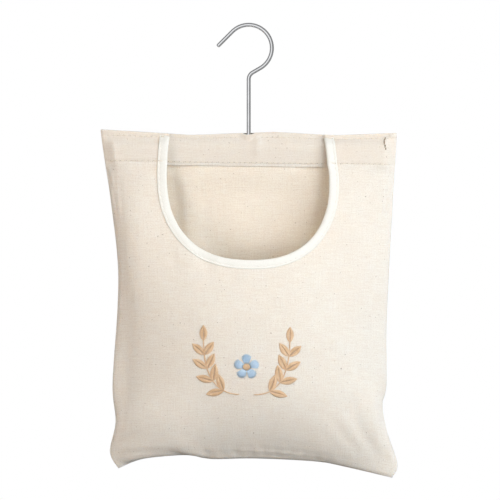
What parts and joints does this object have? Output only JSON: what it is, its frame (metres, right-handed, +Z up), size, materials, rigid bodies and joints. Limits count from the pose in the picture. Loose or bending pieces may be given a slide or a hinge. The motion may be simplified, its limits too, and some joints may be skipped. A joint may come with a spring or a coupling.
{
  "type": "peg bag",
  "caption": "Canvas peg bag with a scooped bound mouth, sewn round a hidden wooden hanger bar that swivels on a bent wire hook.",
  "frame": {"origin": "inside the top of the hook's bend, where it bears on a rail, on the axis of the hook's stem", "axes": "+Z up along the stem, +X to the right seen from the front, the mouth's side faces -Y"},
  "size_m": [0.2956, 0.0759, 0.4544],
  "materials": {
    "steel": "bright drawn wire",
    "wood": "sanded, unvarnished",
    "canvas": "unbleached cotton canvas, plain weave with small flecks",
    "tape": "white cotton bias tape",
    "thread": "cotton sewing thread",
    "tan_floss": "satin stitch in tan thread",
    "blue_floss": "satin stitch in pale blue thread"
  },
  "bodies": {
    "hook": {"hook": "steel", "hook_washer": "steel"},
    "bag": {"hanger_bar": "wood", "back_panel": "canvas", "casing_strip": "canvas", "front_panel": "canvas", "left_facing": "canvas", "right_facing": "canvas", "mouth_binding": "tape", "left_allowance": "canvas", "right_allowance": "canvas", "bottom_allowance": "canvas", "left_top_stitches": "thread", "left_facing_stitches": "thread", "left_casing_top_stitches": "thread", "left_back_top_stitches": "thread", "right_top_stitches": "thread", "right_facing_stitches": "thread", "right_casing_top_stitches": "thread", "right_back_top_stitches": "thread", "casing_stitches": "thread", "back_casing_stitches": "thread", "binding_stitches": "thread", "left_sprig": "tan_floss", "right_sprig": "tan_floss", "blossom": "blue_floss", "blossom_eye": "tan_floss"}
  },
  "joints": [
    {"name": "hook_swivel", "type": "hinge", "parent": "hook", "child": "bag", "pos_m": [0, 0, 0], "axis": [0, 0, 1], "continuous": true}
  ]
}
